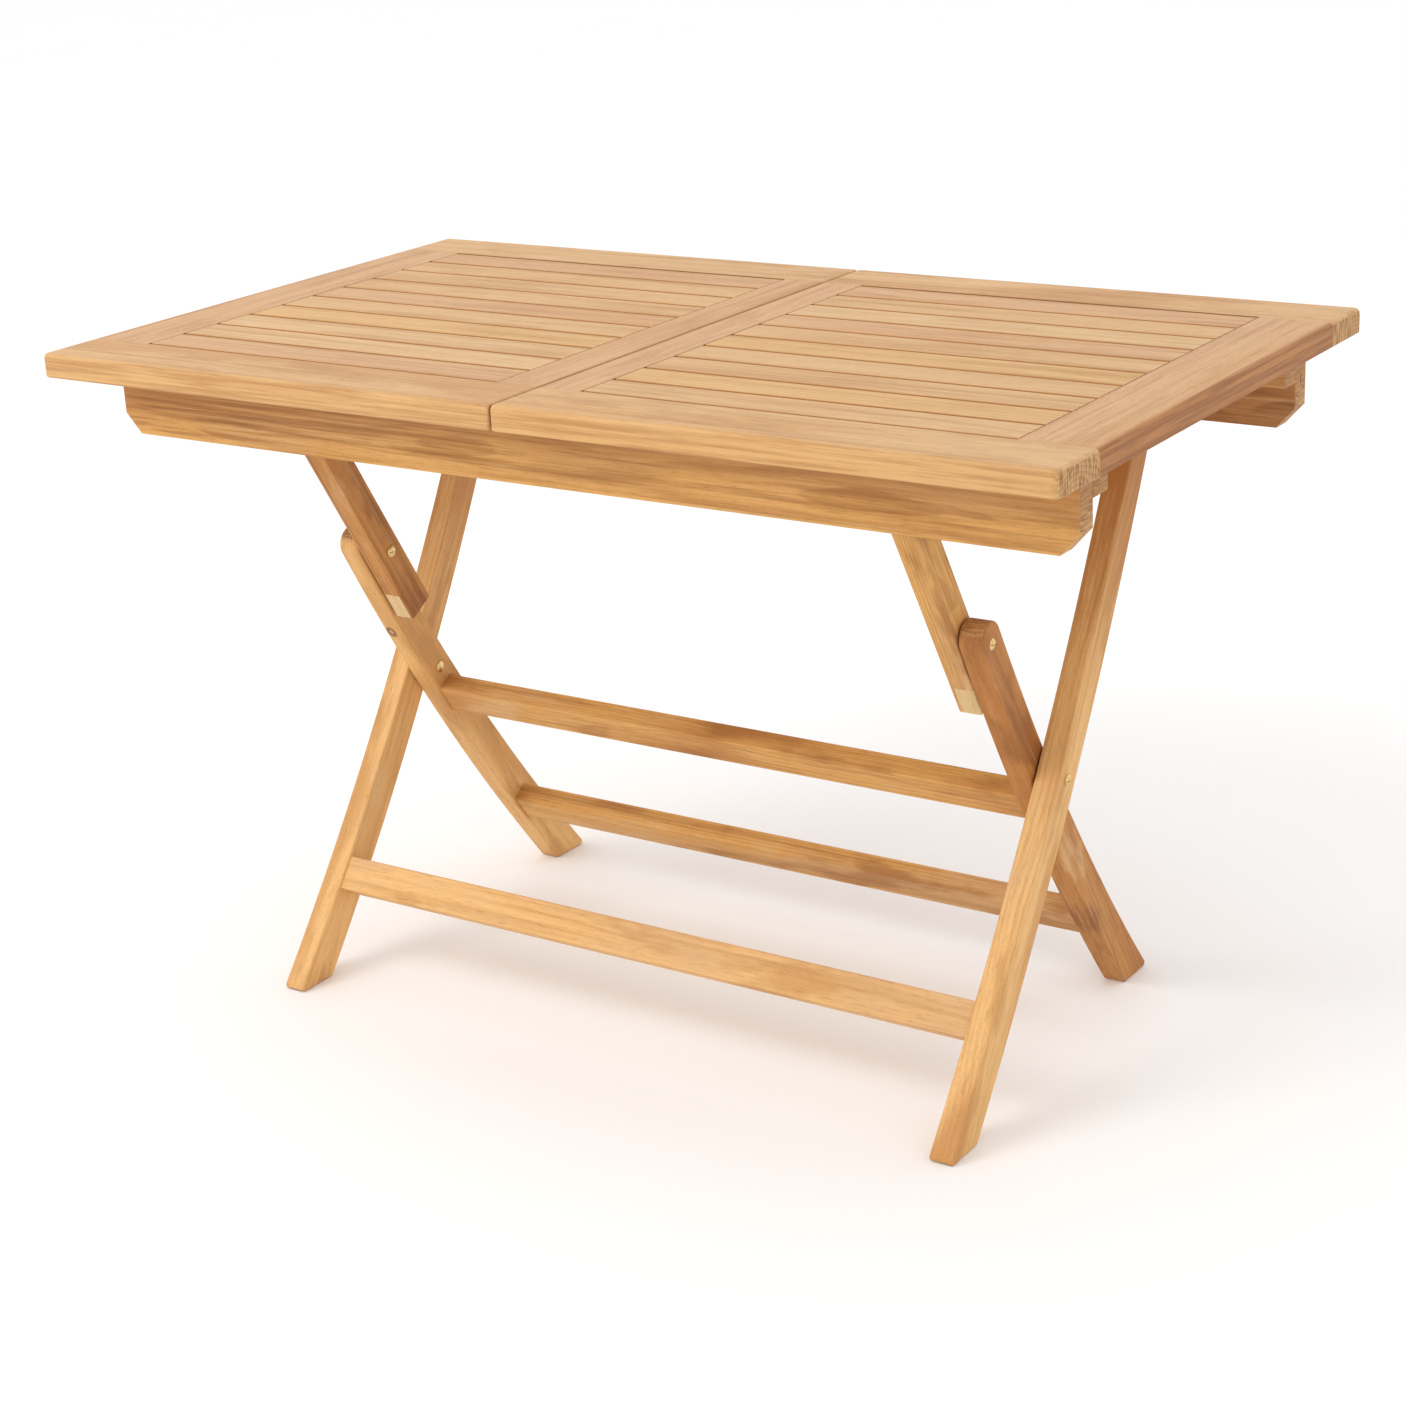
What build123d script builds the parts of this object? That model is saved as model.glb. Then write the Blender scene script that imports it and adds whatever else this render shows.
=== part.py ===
"""Folding slatted teak picnic table.

Two slatted panels lie side by side on a pair of long aprons.  Under them stand two leg frames that
cross like an X: the outer frame has its feet at the front and hangs from pivots at the back, the inner
frame has its feet at the back and is carried by two struts from pivots at the front.  Strut and inner
leg are in line when the table is open, and a paler block closes the strut's tip below the knee.

Frame: +X along the table, -Y is the front, +Z up, origin on the floor under the middle of the top.
All sizes are in millimetres.
"""

from math import acos, asin, atan2, cos, hypot, sin
import os

from build123d import *

os.makedirs("parts", exist_ok=True)

# ---------------------------------------------------------------- overall sizes
table_length = 1200
table_width = 700
table_height = 750

# ---------------------------------------------------------------- panels
rail_thickness = 26
side_rail_width = 80
end_rail_width = 79
centre_rail_width = 49
seam_gap = 2
slat_count = 10
slat_gap = 5
slat_end_gap = 1.2
slat_thickness = 20
slat_edge_round = 1.2
edge_round = 5.5
corner_round = 8
under_round = 2.5
seam_round = 3
tongue_thickness = 8
tongue_length = 12
tongue_end_gap = 0.5
tenon_length = 40
tenon_shoulder = 14
dowel_radius = 3
dowel_length = 20
dowel_inset = 20

# ---------------------------------------------------------------- aprons and battens
apron_overhang = 90
apron_thickness = 27
apron_height = 79
apron_end_inset = 24
apron_bevel_run = 20
apron_bevel_rise = 22
batten_width = 29
batten_height = 30
end_kerf_width = 1.6
end_kerf_depth = 3
end_kerf_height = 12
end_kerf_drop = 22

# ---------------------------------------------------------------- leg frames
outer_leg_face = 435
leg_thickness = 27
layer_gap = 2
leg_foot_width = 44
leg_top_width = 36
leg_bend_radius = 3250
foot_round = 4
leg_edge_round = 2.5
crossing_height = 320
knee_height = 493
knee_end_allowance = 6
pivot_drop = 49
leg_pivot_inset = 38
strut_pivot_inset = 24.6
strut_width = 36
strut_tip = 92
stop_length = 36
stop_cheek = 5
knee_recess = 1.4
recess_clearance = 0.3
arris_round = 1.5

# ---------------------------------------------------------------- stretchers
stretcher_width = 39
stretcher_depth = 24
stretcher_set_back = 3
stretcher_tenon_width = 27
stretcher_tenon_depth = 12
stretcher_tenon_length = 16
mortise_end_gap = 0.5
middle_stretcher_drop = 40
low_stretcher_drop = 262

# ---------------------------------------------------------------- cleats
cleat_foot_gap = 3
cleat_tail = 30
cleat_screw_tail = 12
cleat_screw_inset = 11

# ---------------------------------------------------------------- hardware
sleeve_radius = 4
screw_radius = 3
head_radius = 6.5
head_height = 3
slot_width = 1.8
slot_depth = 1.5
sleeve_floor = 6
screw_reach = 34
washer_radius = 9
washer_clearance = 0.2
fixed_fit = 0.02
running_fit = 0.1
wood_screw_radius = 2.2
wood_screw_head = 4.4
wood_screw_cone = 2.6
batten_up_screw = 40
batten_side_screw = 46
cleat_screw = 48
cleat_bore_radius = 5.5
cleat_screw_bite = 12
batten_screw_spots = (120, 280, 480)
batten_rail_inset = 28

# ---------------------------------------------------------------- worked out from the sizes above
half_length = table_length / 2
half_width = table_width / 2
rail_underside = table_height - rail_thickness
slat_underside = table_height - slat_thickness
field_half = half_width - side_rail_width
end_rail_inner = half_length - end_rail_width
centre_rail_outer = seam_gap / 2 + centre_rail_width
slat_width = (2 * field_half - (slat_count + 1) * slat_gap) / slat_count
slat_pitch = slat_width + slat_gap
tongue_bottom = slat_underside + (slat_thickness - tongue_thickness) / 2
groove_depth = tongue_length + tongue_end_gap

apron_outer = half_width - apron_overhang
apron_inner = apron_outer - apron_thickness
apron_bottom = rail_underside - apron_height
apron_half = half_length - apron_end_inset
batten_inner = apron_inner - batten_width
batten_bottom = rail_underside - batten_height

outer_leg_inner = outer_leg_face - leg_thickness
inner_leg_outer = outer_leg_inner - layer_gap
inner_leg_inner = inner_leg_outer - leg_thickness
strut_outer = inner_leg_inner - layer_gap
strut_inner = strut_outer - leg_thickness

# The leg's centre line is an arc; the angle is its slope above the floor.
pivot_height = rail_underside - pivot_drop
leg_pivot = (apron_inner - leg_pivot_inset, pivot_height)
strut_pivot = (-(apron_inner - strut_pivot_inset), pivot_height)
pivot_chord = hypot(leg_pivot[0], pivot_height - crossing_height)
chord_slope = atan2(pivot_height - crossing_height, leg_pivot[0])
crossing_slope = chord_slope - asin(pivot_chord / (2 * leg_bend_radius))
foot_slope = acos(cos(crossing_slope) + crossing_height / leg_bend_radius)
foot_reach = leg_bend_radius * (sin(crossing_slope) - sin(foot_slope))


def slope_at(height):
    """Slope of the leg's centre line at a height above the floor, in radians."""
    return acos(cos(foot_slope) - height / leg_bend_radius)


def run_at(height):
    """Length of the centre line from the floor up to a height."""
    return (slope_at(height) - foot_slope) * leg_bend_radius


leg_run = run_at(pivot_height)


def leg_width(run):
    """Width of the leg, tapering evenly from the foot to the top pivot."""
    return leg_foot_width + (leg_top_width - leg_foot_width) * run / leg_run


def leg_point(run, offset, lean):
    """Point beside the centre line, in (y, z); offset is positive towards the back for lean +1."""
    slope = foot_slope + run / leg_bend_radius
    y = leg_bend_radius * (sin(slope) - sin(foot_slope)) - foot_reach + offset * sin(slope)
    z = leg_bend_radius * (cos(foot_slope) - cos(slope)) - offset * cos(slope)
    return (lean * y, z)


outer_lean = 1
inner_lean = -1
crossing_run = run_at(crossing_height)
knee_run = run_at(knee_height)
knee = leg_point(knee_run, 0, inner_lean)
strut_length = hypot(strut_pivot[0] - knee[0], strut_pivot[1] - knee[1])
strut_down = ((knee[0] - strut_pivot[0]) / strut_length, (knee[1] - strut_pivot[1]) / strut_length)
strut_back = (-strut_down[1], strut_down[0])

cleat_bottom = apron_bottom + cleat_foot_gap
frame_sides = (-1, 1)
side_names = {-1: "left", 1: "right"}


def save(piece, name):
    """Label a finished piece and write it out."""
    piece.part.label = name
    export_step(piece.part, f"parts/{name}.step")


def wood_screw(length):
    """Countersunk wood screw about +Z: head face at z = 0, pointing up."""
    with BuildPart() as screw:
        with BuildSketch(Plane.XZ):
            with BuildLine():
                Polyline(
                    (0, 0),
                    (wood_screw_head, 0),
                    (wood_screw_radius, wood_screw_cone),
                    (wood_screw_radius, length - wood_screw_radius),
                    (0, length),
                    close=True,
                )
            make_face()
        revolve(axis=Axis.Z)
    return screw.part


# ---------------------------------------------------------------- where the wood screws stand
turn_to_front = Location((0, 0, 0), (90, 0, 0))
turn_to_back = Location((0, 0, 0), (-90, 0, 0))
batten_mid_y = (batten_inner + apron_inner) / 2
batten_mid_z = (batten_bottom + rail_underside) / 2
rail_screw_xs = (end_rail_inner + batten_rail_inset, centre_rail_outer - batten_rail_inset)
up_screw = wood_screw(batten_up_screw)
side_screw = wood_screw(batten_side_screw)
long_screw = wood_screw(cleat_screw)

batten_screws = []
for end in frame_sides:
    for face in frame_sides:
        turn = turn_to_back if face > 0 else turn_to_front
        for x in rail_screw_xs:
            batten_screws.append(Pos(end * x, face * batten_mid_y, batten_bottom) * up_screw)
        for x in batten_screw_spots:
            batten_screws.append(Pos(end * x, face * batten_inner, batten_mid_z) * turn * side_screw)

cleat_mid_x = (inner_leg_inner + inner_leg_outer) / 2
cleat_inner = {1: leg_pivot[0] - cleat_tail, -1: -strut_pivot[0] - cleat_tail}
tail_screw_top = slat_underside + cleat_screw_bite
apron_screw_top = batten_bottom + cleat_screw_bite
cleat_screw_ys = {1: (), -1: ()}
cleat_screws = []
for face in frame_sides:
    tail_y = cleat_inner[face] + cleat_screw_tail
    apron_y = apron_inner - cleat_screw_inset
    cleat_screw_ys[face] = (tail_y, apron_y)
    for end in frame_sides:
        x = end * cleat_mid_x
        cleat_screws.append(Pos(x, face * tail_y, tail_screw_top - cleat_screw) * long_screw)
        cleat_screws.append(Pos(x, face * apron_y, apron_screw_top - cleat_screw) * long_screw)


def group(solids, name):
    """Write like pieces as one node of separate solids."""
    with BuildPart() as pieces:
        add(solids)
    save(pieces, name)


# ---------------------------------------------------------------- panels
def dowel_spots(end):
    """Dowels through the tenons of one panel's end rail and centre rail."""
    end_mid = half_length - end_rail_width / 2
    quarter = (end_rail_width - 2 * tenon_shoulder) / 4
    centre_mid = centre_rail_outer - centre_rail_width / 2
    xs = (end_mid - quarter, end_mid + quarter, centre_mid)
    return [(end * x, face * (field_half + dowel_inset)) for x in xs for face in frame_sides]


def cross_rail(end, near, far, grooved, name):
    """Rail across a panel between its side rails: tenons at both ends, a groove for the slats."""
    middle = end * (near + far) / 2
    width = far - near
    groove_mid = near + groove_depth / 2 if grooved == "near" else far - groove_depth / 2
    rounded_last = (grooved == "near") == (end > 0)
    with BuildPart() as rail:
        with BuildSketch(Plane.XY.offset(rail_underside)):
            with Locations((middle, 0)):
                Rectangle(width, 2 * field_half)
        extrude(amount=rail_thickness)
        long_edges = rail.edges().filter_by(Axis.Y).group_by(Axis.X)
        shown = long_edges[-1] if rounded_last else long_edges[0]
        top_round = edge_round if grooved == "near" else seam_round
        fillet(shown.sort_by(Axis.Z)[-1], top_round)
        under_edges = rail.edges().filter_by(Axis.Y).group_by(Axis.Z)[0].sort_by(Axis.X)
        fillet(under_edges[-1] if rounded_last else under_edges[0], under_round)
        with BuildSketch(Plane.XY.offset(tongue_bottom)):
            with Locations((middle, 0)):
                Rectangle(width - 2 * tenon_shoulder, 2 * (field_half + tenon_length))
        extrude(amount=tongue_thickness)
        with BuildSketch(Plane.XY.offset(tongue_bottom)):
            with Locations((end * groove_mid, 0)):
                Rectangle(groove_depth, 2 * field_half)
        extrude(amount=tongue_thickness, mode=Mode.SUBTRACT)
        with BuildSketch(Plane.XY.offset(rail_underside)):
            with Locations(*dowel_spots(end)):
                Circle(dowel_radius)
        extrude(amount=dowel_length, mode=Mode.SUBTRACT)
        add(batten_screws, mode=Mode.SUBTRACT)
    save(rail, name)


def side_rail(end, face, name):
    """Long rail along a panel's front or back, mortised for the end rail and the centre rail."""
    length = half_length - seam_gap / 2
    mid_x = end * (half_length + seam_gap / 2) / 2
    mid_y = face * (field_half + half_width) / 2
    rail_mids = (
        (half_length - end_rail_width / 2, end_rail_width),
        (centre_rail_outer - centre_rail_width / 2, centre_rail_width),
    )
    inner_y = face * field_half
    seam_x = end * seam_gap / 2
    with BuildPart() as rail:
        with BuildSketch(Plane.XY.offset(rail_underside)):
            with Locations((mid_x, mid_y)):
                Rectangle(length, side_rail_width)
        extrude(amount=rail_thickness)
        corners = rail.edges().filter_by(Axis.Z)
        fillet(corners.sort_by(lambda e: end * e.center().X + face * e.center().Y)[-1], corner_round)
        for level, radius in ((-1, edge_round), (0, under_round)):
            outline = [
                e for e in rail.edges().group_by(Axis.Z)[level]
                if abs(e.center().Y - inner_y) > 1 and abs(e.center().X - seam_x) > 1
            ]
            fillet(outline, radius)
        seam_edge = rail.edges().group_by(Axis.Z)[-1].sort_by(lambda e: end * e.center().X)
        fillet(seam_edge[0], seam_round)
        for x, width in rail_mids:
            with BuildSketch(Plane.XY.offset(tongue_bottom)):
                with Locations((end * x, face * (field_half + tenon_length / 2))):
                    Rectangle(width - 2 * tenon_shoulder, tenon_length)
            extrude(amount=tongue_thickness, mode=Mode.SUBTRACT)
        with BuildSketch(Plane.XY.offset(rail_underside)):
            with Locations(*dowel_spots(end)):
                Circle(dowel_radius)
        extrude(amount=dowel_length, mode=Mode.SUBTRACT)
    save(rail, name)


def slat(end, number, name):
    """Slat along a panel, tongued into the end rail and the centre rail."""
    y = -field_half + slat_gap + slat_width / 2 + number * slat_pitch
    mid_x = end * (centre_rail_outer + end_rail_inner) / 2
    length = end_rail_inner - centre_rail_outer
    with BuildPart() as board:
        with BuildSketch(Plane.XY.offset(slat_underside)):
            with Locations((mid_x, y)):
                Rectangle(length - 2 * slat_end_gap, slat_width)
        extrude(amount=slat_thickness)
        fillet(board.edges().filter_by(Axis.X).group_by(Axis.Z)[-1], slat_edge_round)
        with BuildSketch(Plane.XY.offset(tongue_bottom)):
            with Locations((mid_x, y)):
                Rectangle(length + 2 * tongue_length, slat_width)
        extrude(amount=tongue_thickness)
        add(cleat_screws, mode=Mode.SUBTRACT)
    save(board, name)


for end in frame_sides:
    side = side_names[end]
    cross_rail(end, end_rail_inner, half_length, "near", f"{side}_end_rail")
    cross_rail(end, seam_gap / 2, centre_rail_outer, "far", f"{side}_centre_rail")
    side_rail(end, -1, f"{side}_front_rail")
    side_rail(end, 1, f"{side}_back_rail")
    for number in range(slat_count):
        slat(end, number, f"{side}_slat_{number + 1:02d}")

with BuildPart() as frame_dowels:
    with BuildSketch(Plane.XY.offset(rail_underside)):
        with Locations(*dowel_spots(-1), *dowel_spots(1)):
            Circle(dowel_radius)
    extrude(amount=dowel_length)
save(frame_dowels, "frame_dowels")


# ---------------------------------------------------------------- aprons, battens, cleats
def apron(face, name):
    """Long rail under both panels, its lower corners bevelled; a kerf shows in the back one's right end."""
    plane = Plane.XZ.offset(apron_inner if face < 0 else -apron_outer)
    with BuildPart() as board:
        with BuildSketch(plane):
            with BuildLine():
                Polyline(
                    (-apron_half, rail_underside),
                    (apron_half, rail_underside),
                    (apron_half, apron_bottom + apron_bevel_rise),
                    (apron_half - apron_bevel_run, apron_bottom),
                    (-apron_half + apron_bevel_run, apron_bottom),
                    (-apron_half, apron_bottom + apron_bevel_rise),
                    close=True,
                )
            make_face()
        extrude(amount=apron_thickness)
        faces = (board.edges().group_by(Axis.Y)[0], board.edges().group_by(Axis.Y)[-1])
        fillet([e for outline in faces for e in outline if e.center().Z < rail_underside - 1], arris_round)
        if face > 0:
            kerf_z = rail_underside - end_kerf_drop - end_kerf_height / 2
            with Locations((apron_half, (apron_inner + apron_outer) / 2, kerf_z)):
                Box(2 * end_kerf_depth, end_kerf_width, end_kerf_height, mode=Mode.SUBTRACT)
        add(batten_screws, mode=Mode.SUBTRACT)
    save(board, name)


def batten(face, name):
    """Square strip screwed to the apron and up into the panel rails."""
    with BuildPart() as strip:
        with BuildSketch(Plane.XY.offset(batten_bottom)):
            with Locations((0, face * batten_mid_y)):
                Rectangle(2 * apron_half, batten_width)
        extrude(amount=batten_height)
        lower_edges = strip.edges().filter_by(Axis.X).group_by(Axis.Z)[0]
        fillet(lower_edges.sort_by(lambda e: face * e.center().Y)[0], arris_round)
        add(batten_screws, mode=Mode.SUBTRACT)
        add(cleat_screws, mode=Mode.SUBTRACT)
    save(strip, name)


def cleat(end, face, name):
    """Bearer under the slats, notched round the batten, bored for a pivot bolt."""
    pivot = leg_pivot if face > 0 else strut_pivot
    inner = cleat_inner[face]
    tail_y, apron_y = cleat_screw_ys[face]
    plane = Plane.YZ.offset(end * cleat_mid_x - leg_thickness / 2)
    with BuildPart() as bearer:
        with BuildSketch(plane):
            with BuildLine():
                Polyline(
                    (face * inner, slat_underside),
                    (face * batten_inner, slat_underside),
                    (face * batten_inner, batten_bottom),
                    (face * apron_inner, batten_bottom),
                    (face * apron_inner, cleat_bottom),
                    (face * inner, cleat_bottom),
                    close=True,
                )
            make_face()
            with Locations(pivot):
                Circle(sleeve_radius + fixed_fit, mode=Mode.SUBTRACT)
        extrude(amount=leg_thickness)
        for y, top in ((tail_y, tail_screw_top), (apron_y, apron_screw_top)):
            with BuildSketch(Plane.XY.offset(cleat_bottom)):
                with Locations((end * cleat_mid_x, face * y)):
                    Circle(cleat_bore_radius)
            extrude(amount=top - cleat_screw - cleat_bottom, mode=Mode.SUBTRACT)
        add(cleat_screws, mode=Mode.SUBTRACT)
    save(bearer, name)


apron(-1, "front_apron")
apron(1, "back_apron")
batten(-1, "front_batten")
batten(1, "back_batten")
for end in frame_sides:
    cleat(end, 1, f"{side_names[end]}_leg_cleat")
    cleat(end, -1, f"{side_names[end]}_strut_cleat")
group(batten_screws, "batten_screws")
group(cleat_screws, "cleat_screws")


# ---------------------------------------------------------------- stretchers and legs
def stretcher_plane(x, drop, lean):
    """Plane across a stretcher at x: local x runs up the leg, local y points into the leg."""
    run = crossing_run - drop
    slope = foot_slope + run / leg_bend_radius
    front = -leg_width(run) / 2 * lean
    depth = front + lean * (stretcher_set_back + stretcher_depth / 2)
    y, z = leg_point(run, depth, lean)
    return Plane(origin=(x, y, z), x_dir=(0, lean * cos(slope), sin(slope)), z_dir=(1, 0, 0))


def stretcher(half_span, drop, lean, name):
    """Rail between a pair of legs, with a stub tenon at each end."""
    tip = half_span + stretcher_tenon_length
    with BuildPart() as rail:
        with BuildSketch(stretcher_plane(-half_span, drop, lean)):
            Rectangle(stretcher_width, stretcher_depth)
        extrude(amount=2 * half_span)
        fillet(rail.edges().filter_by(Axis.X), arris_round)
        with BuildSketch(stretcher_plane(-tip, drop, lean)):
            Rectangle(stretcher_tenon_width, stretcher_tenon_depth)
        extrude(amount=2 * tip)
    save(rail, name)


def leg(end, near, lean, end_run, drops, bores, recessed, name):
    """Curved, tapered leg in the layer that starts at |x| = near, round at the top, sawn at the floor."""
    start = -leg_foot_width
    middle = (start + end_run) / 2
    top_half = leg_width(end_run) / 2
    left_face = near if end > 0 else -near - leg_thickness
    with BuildPart() as post:
        with BuildSketch(Plane.YZ.offset(left_face)):
            with BuildLine():
                front = [leg_point(r, -leg_width(r) / 2, lean) for r in (start, middle, end_run)]
                back = [leg_point(r, leg_width(r) / 2, lean) for r in (start, middle, end_run)]
                ThreePointArc(*front)
                ThreePointArc(front[2], leg_point(end_run + top_half, 0, lean), back[2])
                ThreePointArc(*reversed(back))
                Line(back[0], front[0])
            make_face()
        extrude(amount=leg_thickness)
        split(bisect_by=Plane.XY, keep=Keep.TOP)
        fillet(post.edges().filter_by(Axis.X).group_by(Axis.Z)[0], foot_round)
        fillet(post.edges().group_by(Axis.X)[0] + post.edges().group_by(Axis.X)[-1], leg_edge_round)
        for centre, radius in bores:
            with BuildSketch(Plane.YZ.offset(left_face)):
                with Locations(centre):
                    Circle(radius)
            extrude(amount=leg_thickness, mode=Mode.SUBTRACT)
        if recessed:
            floor_x = near + leg_thickness - knee_recess
            with BuildSketch(Plane.YZ.offset(end * floor_x if end > 0 else left_face)):
                with Locations(bores[0][0]):
                    Circle(head_radius + recess_clearance)
            extrude(amount=knee_recess, mode=Mode.SUBTRACT)
        mortise_mouth = end * near
        mortise_depth = stretcher_tenon_length + mortise_end_gap
        mortise_start = mortise_mouth if end > 0 else mortise_mouth - mortise_depth
        for drop in drops:
            with BuildSketch(stretcher_plane(mortise_start, drop, lean)):
                Rectangle(stretcher_tenon_width, stretcher_tenon_depth)
            extrude(amount=mortise_depth, mode=Mode.SUBTRACT)
    save(post, name)


crossing = leg_point(crossing_run, 0, outer_lean)
sleeve_in_own = sleeve_radius + fixed_fit
sleeve_running = sleeve_radius + running_fit
for end in frame_sides:
    side = side_names[end]
    leg(
        end, outer_leg_inner, outer_lean, leg_run, (low_stretcher_drop,),
        ((leg_pivot, sleeve_running), (crossing, sleeve_in_own)), False, f"{side}_outer_leg",
    )
    leg(
        end, inner_leg_inner, inner_lean, knee_run + knee_end_allowance,
        (middle_stretcher_drop, low_stretcher_drop),
        ((knee, sleeve_in_own), (crossing, sleeve_running)), True, f"{side}_inner_leg",
    )
stretcher(outer_leg_inner, low_stretcher_drop, outer_lean, "outer_low_stretcher")
stretcher(inner_leg_inner, low_stretcher_drop, inner_lean, "inner_low_stretcher")
stretcher(inner_leg_inner, middle_stretcher_drop, inner_lean, "inner_middle_stretcher")


# ---------------------------------------------------------------- struts and stop blocks
def along_strut(x):
    """Plane on the strut at x: origin at the knee, local x down the strut, local y to the back."""
    return Plane(origin=(x, *knee), x_dir=(0, *strut_down), z_dir=(1, 0, 0))


def eased_bar(end):
    """The whole straight bar, round at the front pivot and square at the tip, with its edges eased."""
    left_face = strut_inner if end > 0 else -strut_outer
    with BuildPart() as bar:
        with BuildSketch(along_strut(left_face)):
            with Locations(((strut_tip - strut_length) / 2, 0)):
                Rectangle(strut_length + strut_tip, strut_width)
            with Locations((-strut_length, 0)):
                Circle(strut_width / 2)
        extrude(amount=leg_thickness)
        fillet(bar.edges().group_by(Axis.X)[0] + bar.edges().group_by(Axis.X)[-1], leg_edge_round)
    return bar.part


def block_core(end):
    """The part of the strut's tip, all but a thin cheek inboard, that the stop block takes up."""
    core_face = strut_inner + stop_cheek if end > 0 else -strut_outer
    with BuildPart() as core:
        with BuildSketch(along_strut(core_face)):
            with Locations((strut_tip - stop_length / 2, 0)):
                Rectangle(stop_length, strut_width)
        extrude(amount=leg_thickness - stop_cheek)
    return core.part


def strut(end, name):
    """Straight bar from the front pivot past the knee, its tip cut back to a cheek for the stop block."""
    left_face = strut_inner if end > 0 else -strut_outer
    with BuildPart() as bar:
        add(eased_bar(end))
        with BuildSketch(along_strut(left_face)):
            with Locations((-strut_length, 0)):
                Circle(sleeve_running)
            Circle(screw_radius + fixed_fit)
        extrude(amount=leg_thickness, mode=Mode.SUBTRACT)
        add(block_core(end), mode=Mode.SUBTRACT)
    save(bar, name)


def stop_block(end, name):
    """Pale block let into the strut's tip from outboard, flush with the strut in front and behind."""
    with BuildPart() as block:
        add(eased_bar(end))
        add(block_core(end), mode=Mode.INTERSECT)
    save(block, name)


for end in frame_sides:
    strut(end, f"{side_names[end]}_strut")
    stop_block(end, f"{side_names[end]}_stop_block")


# ---------------------------------------------------------------- pivot hardware
def slotted_head(face_x, outward, centre):
    """Domed brass head on a face at x, with a screwdriver slot."""
    y, z = centre
    rim = head_height / 3
    with BuildPart() as head:
        with BuildSketch(Plane(origin=(face_x, y, z), x_dir=(outward, 0, 0), z_dir=(0, -outward, 0))):
            with BuildLine():
                Line((0, 0), (0, head_radius))
                Line((0, head_radius), (rim, head_radius))
                RadiusArc(
                    (rim, head_radius), (head_height, 0),
                    (head_radius**2 + (head_height - rim)**2) / (2 * (head_height - rim)),
                )
                Line((head_height, 0), (0, 0))
            make_face()
        revolve(axis=Axis((face_x, y, z), (1, 0, 0)))
        with Locations((face_x + outward * (head_height - slot_depth / 2), y, z)):
            Box(slot_depth, 2 * head_radius, slot_width, mode=Mode.SUBTRACT)
    return head.part


def rod(x_from, x_to, centre, radius):
    """Round bar along X between two x values."""
    y, z = centre
    with BuildPart() as bar:
        with BuildSketch(Plane.YZ.offset(min(x_from, x_to))):
            with Locations((y, z)):
                Circle(radius)
        extrude(amount=abs(x_to - x_from))
    return bar.part


def sleeve_nut(end, head_x, tip_x, centre):
    """Slotted nut with a long sleeve that lines the bore."""
    outward = 1 if head_x > tip_x else -1
    head = slotted_head(end * head_x, end * outward, centre)
    body = head + rod(end * head_x, end * tip_x, centre, sleeve_radius)
    floor_x = head_x - outward * sleeve_floor
    return body - rod(end * tip_x, end * floor_x, centre, screw_radius + fixed_fit)


def machine_screw(end, head_x, tip_x, centre):
    """Slotted screw that runs into the sleeve nut from the other face."""
    outward = 1 if head_x > tip_x else -1
    head = slotted_head(end * head_x, end * outward, centre)
    return head + rod(end * head_x, end * tip_x, centre, screw_radius)


def washer(end, face_x, outward, centre):
    """Flat washer that fills the gap between two timbers."""
    far_x = face_x + outward * (layer_gap - washer_clearance)
    ring = rod(end * face_x, end * far_x, centre, washer_radius)
    return ring - rod(end * face_x, end * far_x, centre, sleeve_radius + fixed_fit)


nut_gap = 2 * head_height
leg_pivots = [
    (outer_leg_face, inner_leg_inner, leg_pivot),
    (inner_leg_outer, strut_inner, strut_pivot),
]
top_nuts = []
top_screws = []
top_washers = []
crossing_nuts = []
crossing_screws = []
crossing_washers = []
knee_nuts = []
knee_washers = []
for end in frame_sides:
    for nut_face, screw_face, centre in leg_pivots:
        top_nuts.append(sleeve_nut(end, nut_face, screw_face + nut_gap, centre))
        top_screws.append(machine_screw(end, screw_face, screw_face + screw_reach, centre))
    top_washers.append(washer(end, inner_leg_outer, 1, leg_pivot))
    top_washers.append(washer(end, inner_leg_inner, -1, strut_pivot))
    crossing_nuts.append(sleeve_nut(end, outer_leg_face, inner_leg_inner + nut_gap, crossing))
    crossing_screws.append(machine_screw(end, inner_leg_inner, inner_leg_inner + screw_reach, crossing))
    crossing_washers.append(washer(end, outer_leg_inner, -1, crossing))
    knee_nuts.append(sleeve_nut(end, inner_leg_outer - knee_recess, inner_leg_inner, knee))
    knee_washers.append(washer(end, inner_leg_inner, -1, knee))
    group([machine_screw(end, strut_inner, strut_outer, knee)], f"{side_names[end]}_knee_screw")

group(top_nuts, "top_pivot_nuts")
group(top_screws, "top_pivot_screws")
group(top_washers, "top_pivot_washers")
group(crossing_nuts, "crossing_nuts")
group(crossing_screws, "crossing_screws")
group(crossing_washers, "crossing_washers")
group(knee_nuts, "knee_nuts")
group(knee_washers, "knee_washers")

print("leg pivot", leg_pivot)
print("crossing", crossing)
print("knee", knee)
print("strut pivot", strut_pivot)
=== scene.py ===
import math
import random

import bpy
from mathutils import Matrix, Vector


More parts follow.
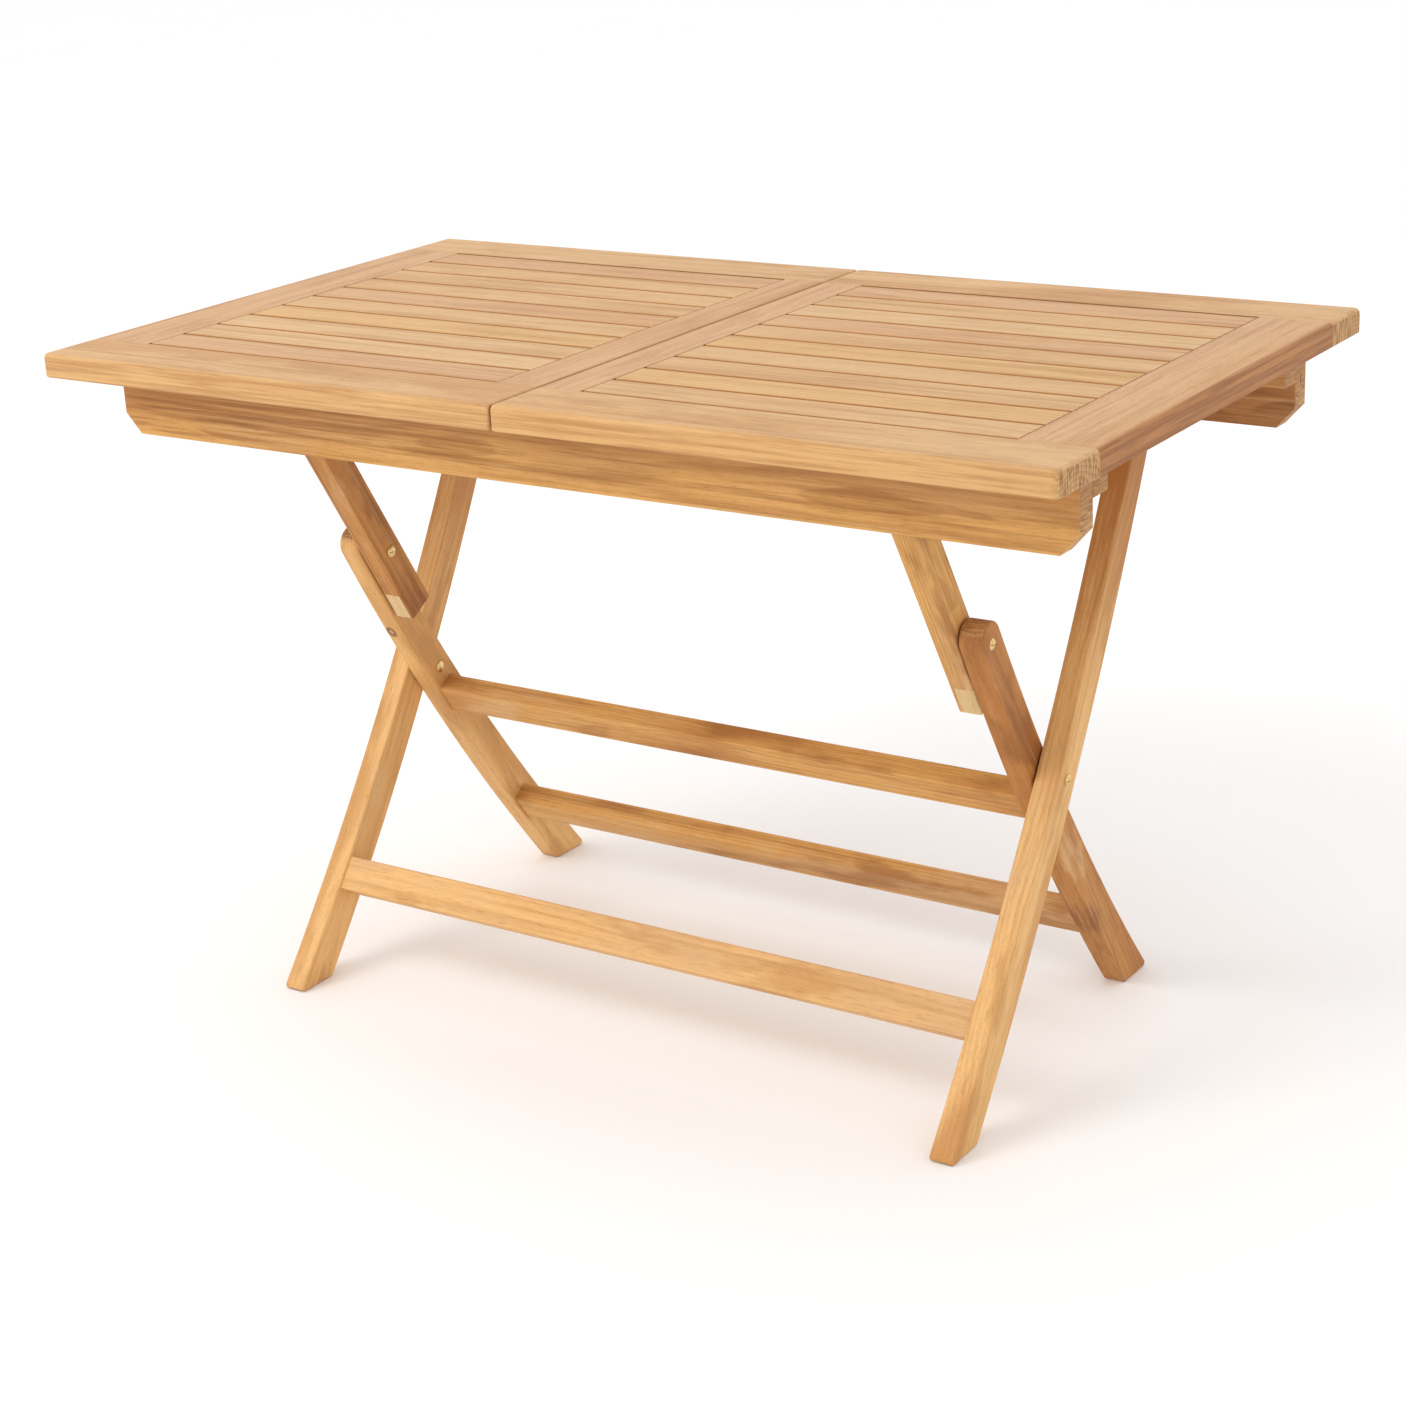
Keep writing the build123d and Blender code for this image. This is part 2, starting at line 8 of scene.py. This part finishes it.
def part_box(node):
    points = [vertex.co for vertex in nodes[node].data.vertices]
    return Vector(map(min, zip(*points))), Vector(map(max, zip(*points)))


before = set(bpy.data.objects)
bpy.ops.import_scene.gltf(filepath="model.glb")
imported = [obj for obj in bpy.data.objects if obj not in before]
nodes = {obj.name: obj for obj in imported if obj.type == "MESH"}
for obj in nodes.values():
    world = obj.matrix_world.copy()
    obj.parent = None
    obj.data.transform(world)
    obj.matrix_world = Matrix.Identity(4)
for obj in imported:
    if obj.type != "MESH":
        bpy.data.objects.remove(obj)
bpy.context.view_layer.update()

# ---------------------------------------------------------------- camera
# The table is seen from above its right front corner, through a lens of short telephoto length.
camera_place = (1.604, -2.368, 1.362)
camera_turn = math.radians(34.25)
camera_dip = math.radians(19.75)
camera_lean = math.radians(2.85)
camera_lens = 70.8

ahead = Vector((
    -math.sin(camera_turn) * math.cos(camera_dip),
    math.cos(camera_turn) * math.cos(camera_dip),
    -math.sin(camera_dip),
))
level = Vector((math.cos(camera_turn), math.sin(camera_turn), 0))
upright = level.cross(ahead)
right = level * math.cos(camera_lean) - upright * math.sin(camera_lean)
up = level * math.sin(camera_lean) + upright * math.cos(camera_lean)
camera = bpy.data.objects.new("camera", bpy.data.cameras.new("camera"))
camera.data.lens = camera_lens
camera.data.sensor_width = 36
camera.data.clip_start = 0.05
camera.data.clip_end = 60
camera.matrix_world = Matrix.Translation(camera_place) @ Matrix((right, up, -ahead)).transposed().to_4x4()
bpy.context.scene.collection.objects.link(camera)
bpy.context.scene.camera = camera

# ---------------------------------------------------------------- light
# A white sky all round, and one large soft lamp high in front on the left.
bpy.context.scene.view_settings.view_transform = "Standard"
sky = bpy.data.worlds.new("white_sky")
sky.use_nodes = True
sky.node_tree.nodes["Background"].inputs["Color"].default_value = (1, 1, 1, 1)
sky.node_tree.nodes["Background"].inputs["Strength"].default_value = 1.06
bpy.context.scene.world = sky

lamp_place = Vector((-2.0, -2.8, 3.2))
lamp_target = Vector((0, 0, 0.45))
lamp_side = 2.2
lamp_watts = 58

lamp = bpy.data.objects.new("front_lamp", bpy.data.lights.new("front_lamp", "AREA"))
lamp.data.size = lamp_side
lamp.data.energy = lamp_watts
lamp.data.color = (1, 0.985, 0.96)
lamp_turn = (lamp_target - lamp_place).to_track_quat("-Z", "Y").to_matrix().to_4x4()
lamp.matrix_world = Matrix.Translation(lamp_place) @ lamp_turn
bpy.context.scene.collection.objects.link(lamp)



# ---------------------------------------------------------------- floor
# A plain pale floor, matt, 24 m square, a hair under the feet.
class Wire:
    """One socket of a material's node tree.  + - * / and ** between wires and numbers add Math nodes."""

    def __init__(self, tree, socket):
        self.tree = tree
        self.socket = socket

    def node(self, kind, settings=(), inputs=(), output=0):
        """Add a node: its settings are set first, then the values or links of its sockets."""
        made = self.tree.nodes.new("ShaderNode" + kind)
        for key, value in dict(settings).items():
            setattr(made, key, value)
        for key, value in dict(inputs).items():
            if isinstance(value, Wire):
                self.tree.links.new(value.socket, made.inputs[key])
            else:
                made.inputs[key].default_value = value
        return Wire(self.tree, made.outputs[output])

    def math(self, operation, *values):
        return self.node("Math", {"operation": operation}, dict(enumerate(values)))

    def __add__(self, other):
        return self.math("ADD", self, other)

    __radd__ = __add__

    def __sub__(self, other):
        return self.math("SUBTRACT", self, other)

    def __rsub__(self, other):
        return self.math("SUBTRACT", other, self)

    def __mul__(self, other):
        return self.math("MULTIPLY", self, other)

    __rmul__ = __mul__

    def __truediv__(self, other):
        return self.math("DIVIDE", self, other)

    def __pow__(self, other):
        return self.math("POWER", self, other)

    def step(self, low, high):
        """0 below low, 1 above high, smooth between; falls instead if low is the larger."""
        span = {1: low, 2: high, 3: 0, 4: 1} if low < high else {1: high, 2: low, 3: 1, 4: 0}
        return self.node("MapRange", {"interpolation_type": "SMOOTHSTEP"}, {0: self, **span})

    def dot(self, direction):
        """How far this vector reaches along a fixed direction."""
        return self.node("VectorMath", {"operation": "DOT_PRODUCT"}, {0: self, 1: tuple(direction)}, "Value")

    def blend(self, colour_a, colour_b):
        """This value, 0 to 1, takes colour_a over to colour_b."""
        settings = {"data_type": "RGBA", "blend_type": "MIX", "clamp_factor": True}
        shades = {k: (*c, 1) if isinstance(c, tuple) else c for k, c in ((6, colour_a), (7, colour_b))}
        return self.node("Mix", settings, {0: self, **shades}, 2)


def finish(name, slot_roughness, build):
    """A material: build(place, facing) gives the sockets of its surface that are not constant."""
    material = bpy.data.materials.new(name)
    material.use_nodes = True
    tree = material.node_tree
    surface = tree.nodes["Principled BSDF"]
    surface.inputs["Roughness"].default_value = slot_roughness
    coordinates = tree.nodes.new("ShaderNodeTexCoord")
    place = Wire(tree, coordinates.outputs["Object"])
    facing = Wire(tree, coordinates.outputs["Normal"])
    for key, value in build(place, facing).items():
        if isinstance(value, Wire):
            tree.links.new(value.socket, surface.inputs[key])
        else:
            surface.inputs[key].default_value = value
    return material


def floor_paper(place, facing):
    cloud = place.node("TexNoise", inputs={"Vector": place, "Scale": 1.5, "Detail": 2.0})
    return {"Base Color": cloud.blend((0.93, 0.93, 0.93), (0.95, 0.95, 0.95)), "Specular IOR Level": 0.1}


floor_half = 12
floor_drop = 0.0004
corners = [(x * floor_half, y * floor_half, -floor_drop) for x, y in ((-1, -1), (1, -1), (1, 1), (-1, 1))]
floor_mesh = bpy.data.meshes.new("floor")
floor_mesh.from_pydata(corners, [], [(0, 1, 2, 3)])
floor = bpy.data.objects.new("floor", floor_mesh)
floor_mesh.materials.append(finish("floor_paper", 0.9, floor_paper))
bpy.context.scene.collection.objects.link(floor)


# ---------------------------------------------------------------- slats
# Twenty thin teak boards, their grain along the table, planed and lightly sanded, oiled once and
# left matt.  Each is cut from another plank, so each has its own tone and its own growth rings.
def teak(name, along, across, middle, tone, seed, rings=0.5, streaks=1.0, patches=0.5, wear_and_shade=None):
    """Sawn teak: growth rings are cylinders round a pith line along the board, cut by the board's faces.

    light and dark are a tone's early and late wood; rings, streaks and patches say how strongly each shows,
    and the last argument, a function of place, facing, colour and streak, gives the colour after use, and on
    the aprons and legs painted shade as well.
    """
    draw = random.Random(seed)
    along, across = Vector(along).normalized(), Vector(across).normalized()
    through = along.cross(across)
    pith_across = draw.uniform(-0.05, 0.05)
    pith_through = draw.choice((-1, 1)) * draw.uniform(0.05, 0.12)
    ring_width = draw.uniform(0.0034, 0.0052)
    shift = draw.uniform(0, 40)
    light, dark = teak_tones[tone]
    warm = teak_tones[draw.choice(("pink", "russet", "honey"))][0]

    def surface(place, facing):
        def noise(lengthwise, crosswise, detail, roughness=0.55):
            """Cloudy pattern drawn out along the grain; the numbers are its cells per metre each way."""
            sockets = {"X": run * lengthwise + shift, "Y": side * crosswise, "Z": depth * crosswise}
            drawn_out = place.node("CombineXYZ", inputs=sockets)
            sockets = {"Vector": drawn_out, "Scale": 1.0, "Detail": detail, "Roughness": roughness}
            return place.node("TexNoise", inputs=sockets)

        run = place.dot(along) - Vector(middle).dot(along)
        side = place.dot(across) - Vector(middle).dot(across)
        depth = place.dot(through) - Vector(middle).dot(through)
        sway = noise(2.2, 9, 3)
        off_side = side - pith_across + (sway - 0.5) * 0.05
        off_depth = depth - pith_through
        radius = (off_side * off_side + off_depth * off_depth) ** 0.5 + (sway - 0.5) * 0.02
        turns = radius / ring_width
        phase = turns.math("FRACT", turns)
        ring = phase.step(0.25, 0.9) * phase.step(1.0, 0.93)
        patch = noise(7, 24, 3, 0.6)
        cloud = noise(3, 13, 2)
        band = noise(2.5, 75, 4, 0.6)
        streak = noise(6, 240, 5, 0.65)
        fibre = noise(22, 800, 3, 0.6)
        vessel = noise(60, 1700, 1)
        pores = vessel.step(0.62, 0.7)
        saw_lines = place.node("CombineXYZ", inputs={"X": side * 420, "Y": depth * 45})
        saw_mark = place.node("TexNoise", inputs={"Vector": saw_lines, "Scale": 1.0, "Detail": 4.0})
        colour = (ring * rings * band.step(0.25, 0.7)).blend(light, dark)
        colour = (cloud.step(0.46, 0.62) * patches * 0.8).blend(colour, warm)
        colour = (patch.step(0.5, 0.68) * patches).blend(colour, dark)
        colour = (patch.step(0.45, 0.3) * patches * 0.7).blend(colour, pale_streak)
        colour = (band.step(0.5, 0.7) * 0.5 * streaks).blend(colour, dark)
        colour = (streak.step(0.5, 0.7) * 0.32 * streaks).blend(colour, dark)
        colour = (streak.step(0.48, 0.3) * 0.28 * streaks).blend(colour, pale_streak)
        colour = (fibre.step(0.5, 0.7) * 0.32).blend(colour, dark)
        colour = (pores * 0.35).blend(colour, pore_brown)
        butt = facing.dot(along)
        end_cut = butt.math("ABSOLUTE", butt).step(0.75, 0.95)
        roughened = ring * 0.25 + saw_mark.step(0.44, 0.6) * 0.75 + pores * 0.2
        sawn = roughened.blend(end_grain_light, end_grain_dark)
        colour = end_cut.blend(colour, sawn)
        if wear_and_shade:
            colour = wear_and_shade(place, facing, colour, streak)
        relief = fibre * 0.5 + streak * 0.35 - pores * 0.5 - ring * 0.12
        bump_sockets = {"Strength": 0.25, "Distance": 0.0006, "Height": relief}
        bump = place.node("Bump", inputs=bump_sockets, output="Normal")
        return {
            "Base Color": colour, "Roughness": 0.5 + streak * 0.16 + pores * 0.1, "Normal": bump,
            "Specular IOR Level": 0.3,
        }

    return finish(name, 0.55, surface)


teak_tones = {
    "tan": ((0.640, 0.395, 0.190), (0.43, 0.220, 0.082)),
    "pale": ((0.660, 0.425, 0.215), (0.46, 0.250, 0.100)),
    "gold": ((0.650, 0.390, 0.160), (0.44, 0.220, 0.070)),
    "pink": ((0.610, 0.360, 0.185), (0.42, 0.205, 0.085)),
    "brown": ((0.460, 0.210, 0.070), (0.22, 0.080, 0.020)),
    "russet": ((0.470, 0.185, 0.047), (0.24, 0.076, 0.017)),
    "chestnut": ((0.530, 0.235, 0.058), (0.26, 0.088, 0.020)),
    "honey": ((0.590, 0.285, 0.080), (0.29, 0.105, 0.024)),
    "amber": ((0.720, 0.385, 0.115), (0.35, 0.140, 0.032)),
    "straw": ((0.800, 0.470, 0.185), (0.53, 0.265, 0.082)),
    "maple": ((0.700, 0.500, 0.250), (0.52, 0.320, 0.130)),
}
pale_streak = (0.72, 0.46, 0.22)
pore_brown = (0.17, 0.07, 0.022)
end_grain_light = (0.58, 0.33, 0.135)
end_grain_dark = (0.25, 0.105, 0.034)
# Dark brown of raw rail sides and joint lines; the aprons also take it as painted shade under the top.
raw_edge_and_shade = (0.38, 0.165, 0.050)
grain_x, grain_y, grain_z = (1, 0, 0), (0, 1, 0), (0, 0, 1)


def coat(node, material):
    """Give a CAD node its finish."""
    mesh = nodes[node].data
    mesh.materials.clear()
    mesh.materials.append(material)


def centre(node):
    low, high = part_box(node)
    return (low + high) / 2


def oiled_gap(place, facing, colour, streak):
    """The oil that ran down between the boards has left their edges a golden brown."""
    turned = facing.dot(grain_y)
    return (turned.math("ABSOLUTE", turned).step(0.4, 0.9) * 0.85).blend(colour, oiled_gold)


oiled_gold = (0.46, 0.205, 0.058)
slat_tones = {
    "left": ("pink", "pale", "pale", "gold", "tan", "pink", "tan", "tan", "tan", "pink"),
    "right": ("tan", "gold", "tan", "tan", "gold", "tan", "pink", "pale", "tan", "pink"),
}
for side, tones in slat_tones.items():
    for number, tone in enumerate(tones, 1):
        slat = f"{side}_slat_{number:02d}"
        coat(slat, teak(slat, grain_x, grain_y, centre(slat), tone, slat, patches=0.25, wear_and_shade=oiled_gap))


# ---------------------------------------------------------------- rails of the panels
# Thick teak rails, joined by pinned tenons; the side rails run through to the corners.
# Their outer edges are rounded, and the oil has darkened them.
def used_edge(across, low, high, depth, stain, joint=None):
    """A brown tide mark where a rail turns over its outer edge, an oiled inner side, a line at a joint."""
    def wear_and_shade(place, facing, colour, streak):
        reach = place.dot(across)
        reach = reach.math("ABSOLUTE", reach) + (streak - 0.5) * 0.004
        colour = (reach.step(low, high) * depth).blend(colour, streak.step(0.4, 0.62).blend(*stain))
        turned = facing.dot(across)
        turned = turned.math("ABSOLUTE", turned).step(0.4, 0.9) * reach.step(low, low - 0.01)
        colour = (turned * 0.8).blend(colour, raw_edge_and_shade)
        if joint:
            run = place.dot(grain_y)
            colour = run.math("ABSOLUTE", run).step(joint - 0.0008, joint).blend(colour, raw_edge_and_shade)
        return colour
    return wear_and_shade


side_rail_stain = ((0.66, 0.37, 0.135), (0.45, 0.205, 0.062))
end_rail_stain = ((0.43, 0.175, 0.048), (0.27, 0.096, 0.025))
joint_place = 0.27
side_rail_mark = used_edge(grain_y, 0.342, 0.3495, 0.6, side_rail_stain)
end_rail_mark = used_edge(grain_x, 0.591, 0.5985, 0.85, end_rail_stain, joint_place)
centre_rail_mark = used_edge(grain_x, 0.06, 0.07, 0.0, end_rail_stain, joint_place)
for side in ("left", "right"):
    for rail in ("front_rail", "back_rail"):
        name = f"{side}_{rail}"
        coat(name, teak(name, grain_x, grain_y, centre(name), "tan", name, 0.4, 1.0, 0.5, side_rail_mark))
    name = f"{side}_end_rail"
    coat(name, teak(name, grain_y, grain_x, centre(name), "pink", name, 0.4, 1.0, 0.3, end_rail_mark))
    name = f"{side}_centre_rail"
    coat(name, teak(name, grain_y, grain_x, centre(name), "pink", name, 0.4, 1.0, 0.3, centre_rail_mark))
coat("frame_dowels", teak("frame_dowels", grain_z, grain_x, (0, 0, 0.74), "gold", "frame_dowels"))

# ---------------------------------------------------------------- under the top
# Two long aprons with bevelled ends carry both panels, with battens and cleats screwed behind them.
def heart_and_overhang_shade(place, facing, colour, streak):
    """The aprons are browner towards their upper edges and left ends: painted shade of the overhanging top
    along the upper edge, darker plank towards the left end.

    The darker strip along the upper edge is more painted shade of the overhanging top, which the soft
    light hardly casts.
    """
    # Browner towards the top and the left: painted shade under the overhang, darker wood to the left.
    heart_and_shade = place.dot(grain_z) - 0.675 - place.dot(grain_x) * 0.09 + (streak - 0.5) * 0.14
    heart_and_shade_colour = streak.step(0.42, 0.62).blend(*teak_tones["chestnut"])
    colour = (heart_and_shade.step(0.0, 0.065) * 0.7).blend(colour, heart_and_shade_colour)
    # Painted shade: a strip along the upper edge, under the overhang.
    painted_overhang_shade = place.dot(grain_z) + (streak - 0.5) * 0.03
    return (painted_overhang_shade.step(0.668, 0.695) * 0.5).blend(colour, raw_edge_and_shade)


apron_grain = (1, 0, -0.03)
for name, tone in (
    ("front_apron", "amber"), ("back_apron", "brown"), ("front_batten", "amber"), ("back_batten", "amber"),
):
    timber = teak(name, apron_grain, grain_z, centre(name), tone, name, 0.8, 1.5, 0.25, heart_and_overhang_shade)
    coat(name, timber)
for side in ("left", "right"):
    for name in (f"{side}_leg_cleat", f"{side}_strut_cleat"):
        coat(name, teak(name, grain_y, grain_z, centre(name), "brown", name))


# ---------------------------------------------------------------- legs and stretchers
# Legs sawn to a gentle curve from straight planks, so the grain runs out along their edges.
def lean_of(degrees, back):
    """Direction up a leg in the plane across the table, and the direction square to it."""
    slope = math.radians(degrees)
    return (0, back * math.cos(slope), math.sin(slope)), (0, -back * math.sin(slope), math.cos(slope))


def heartwood_and_shade(depth, knot=None):
    """The plank is darker towards its upper end, in tongues along the grain: partly its dark inner wood,
    partly painted shade of the top above.

    A knot is a round spot on the front edge, about the place knot = (x, z).
    """
    def wear_and_shade(place, facing, colour, streak):
        # Darker upward in tongues: dark inner wood and painted shade under the top.
        height = place.dot(grain_z) + (streak - 0.5) * 0.35
        colour = (height.step(0.34, 0.62) * depth).blend(colour, heartwood_and_shade_brown)
        if knot:
            off_x, off_z = place.dot(grain_x) - knot[0], place.dot(grain_z) - knot[1]
            distance = (off_x * off_x + off_z * off_z) ** 0.5 + (streak - 0.5) * 0.003
            front = facing.dot(grain_y).step(-0.3, -0.5)
            colour = (distance.step(0.009, 0.005) * front * 0.85).blend(colour, knot_brown)
            colour = (distance.step(0.0035, 0.002) * front * 0.6).blend(colour, pale_streak)
        return colour
    return wear_and_shade


# Brown of the legs' upper ends: dark inner wood and painted shade of the top.
heartwood_and_shade_brown = (0.44, 0.178, 0.045)
knot_brown = (0.20, 0.075, 0.022)
knot_height = 0.378
knot_offset = 0.005
leg_slope = 57.5
# Each leg's number is how strongly its upper end darkens, with dark inner wood and painted shade of the top.
legs = {
    "left_outer_leg": ("straw", 1, heartwood_and_shade(0.75)), "right_outer_leg": ("straw", 1, heartwood_and_shade(0.9)),
    "left_inner_leg": ("straw", -1, heartwood_and_shade(0.25, (centre("left_inner_leg").x - knot_offset, knot_height))),
    "right_inner_leg": ("chestnut", -1, heartwood_and_shade(0.5)),
}
for name, (tone, back, wear_and_shade) in legs.items():
    up_leg, off_leg = lean_of(leg_slope, back)
    coat(name, teak(name, up_leg, off_leg, centre(name), tone, name, 0.5, 0.8, 0.85, wear_and_shade))
for name, tone in (
    ("outer_low_stretcher", "straw"), ("inner_low_stretcher", "amber"), ("inner_middle_stretcher", "amber"),
):
    coat(name, teak(name, grain_x, grain_z, centre(name), tone, name, 0.5, streaks=0.9, patches=0.7))

# ---------------------------------------------------------------- struts and stop blocks
# A straight strut each side; the block let into its tip is a paler wood.
strut_slope = 59.7
# The left strut's darker chestnut tone is painted shade; the right strut is amber.
for side, tone in (("left", "chestnut"), ("right", "amber")):
    up_strut, off_strut = lean_of(strut_slope, -1)
    name = f"{side}_strut"
    coat(name, teak(name, up_strut, off_strut, centre(name), tone, name, 0.5, streaks=0.8, patches=0.8))
    name = f"{side}_stop_block"
    coat(name, teak(name, up_strut, off_strut, centre(name), "maple", name, 0.3, streaks=0.5, patches=0.1))


# ---------------------------------------------------------------- brass and steel
# Brass sleeve nuts and screws with slotted domed heads, plain steel wood screws.
def metal(light, dark, roughness):
    """Turned metal, dulled in patches."""
    def surface(place, facing):
        patch = place.node("TexNoise", inputs={"Vector": place, "Scale": 320.0, "Detail": 4.0})
        scratch = place.node("TexNoise", inputs={"Vector": place, "Scale": 1800.0, "Detail": 2.0})
        bump_sockets = {"Strength": 0.1, "Distance": 0.0002, "Height": scratch}
        bump = place.node("Bump", inputs=bump_sockets, output="Normal")
        return {
            "Base Color": patch.step(0.35, 0.7).blend(light, dark), "Metallic": 1.0,
            "Roughness": roughness + patch * 0.15, "Normal": bump,
        }
    return surface


brass = finish("brass", 0.35, metal((0.86, 0.64, 0.30), (0.62, 0.41, 0.16), 0.28))
steel = finish("steel", 0.35, metal((0.62, 0.62, 0.60), (0.42, 0.42, 0.41), 0.3))
for name in (
    "left_knee_screw", "right_knee_screw", "knee_nuts", "knee_washers", "top_pivot_nuts", "top_pivot_screws",
    "top_pivot_washers", "crossing_nuts", "crossing_screws", "crossing_washers",
):
    coat(name, brass)
for name in ("batten_screws", "cleat_screws"):
    coat(name, steel)
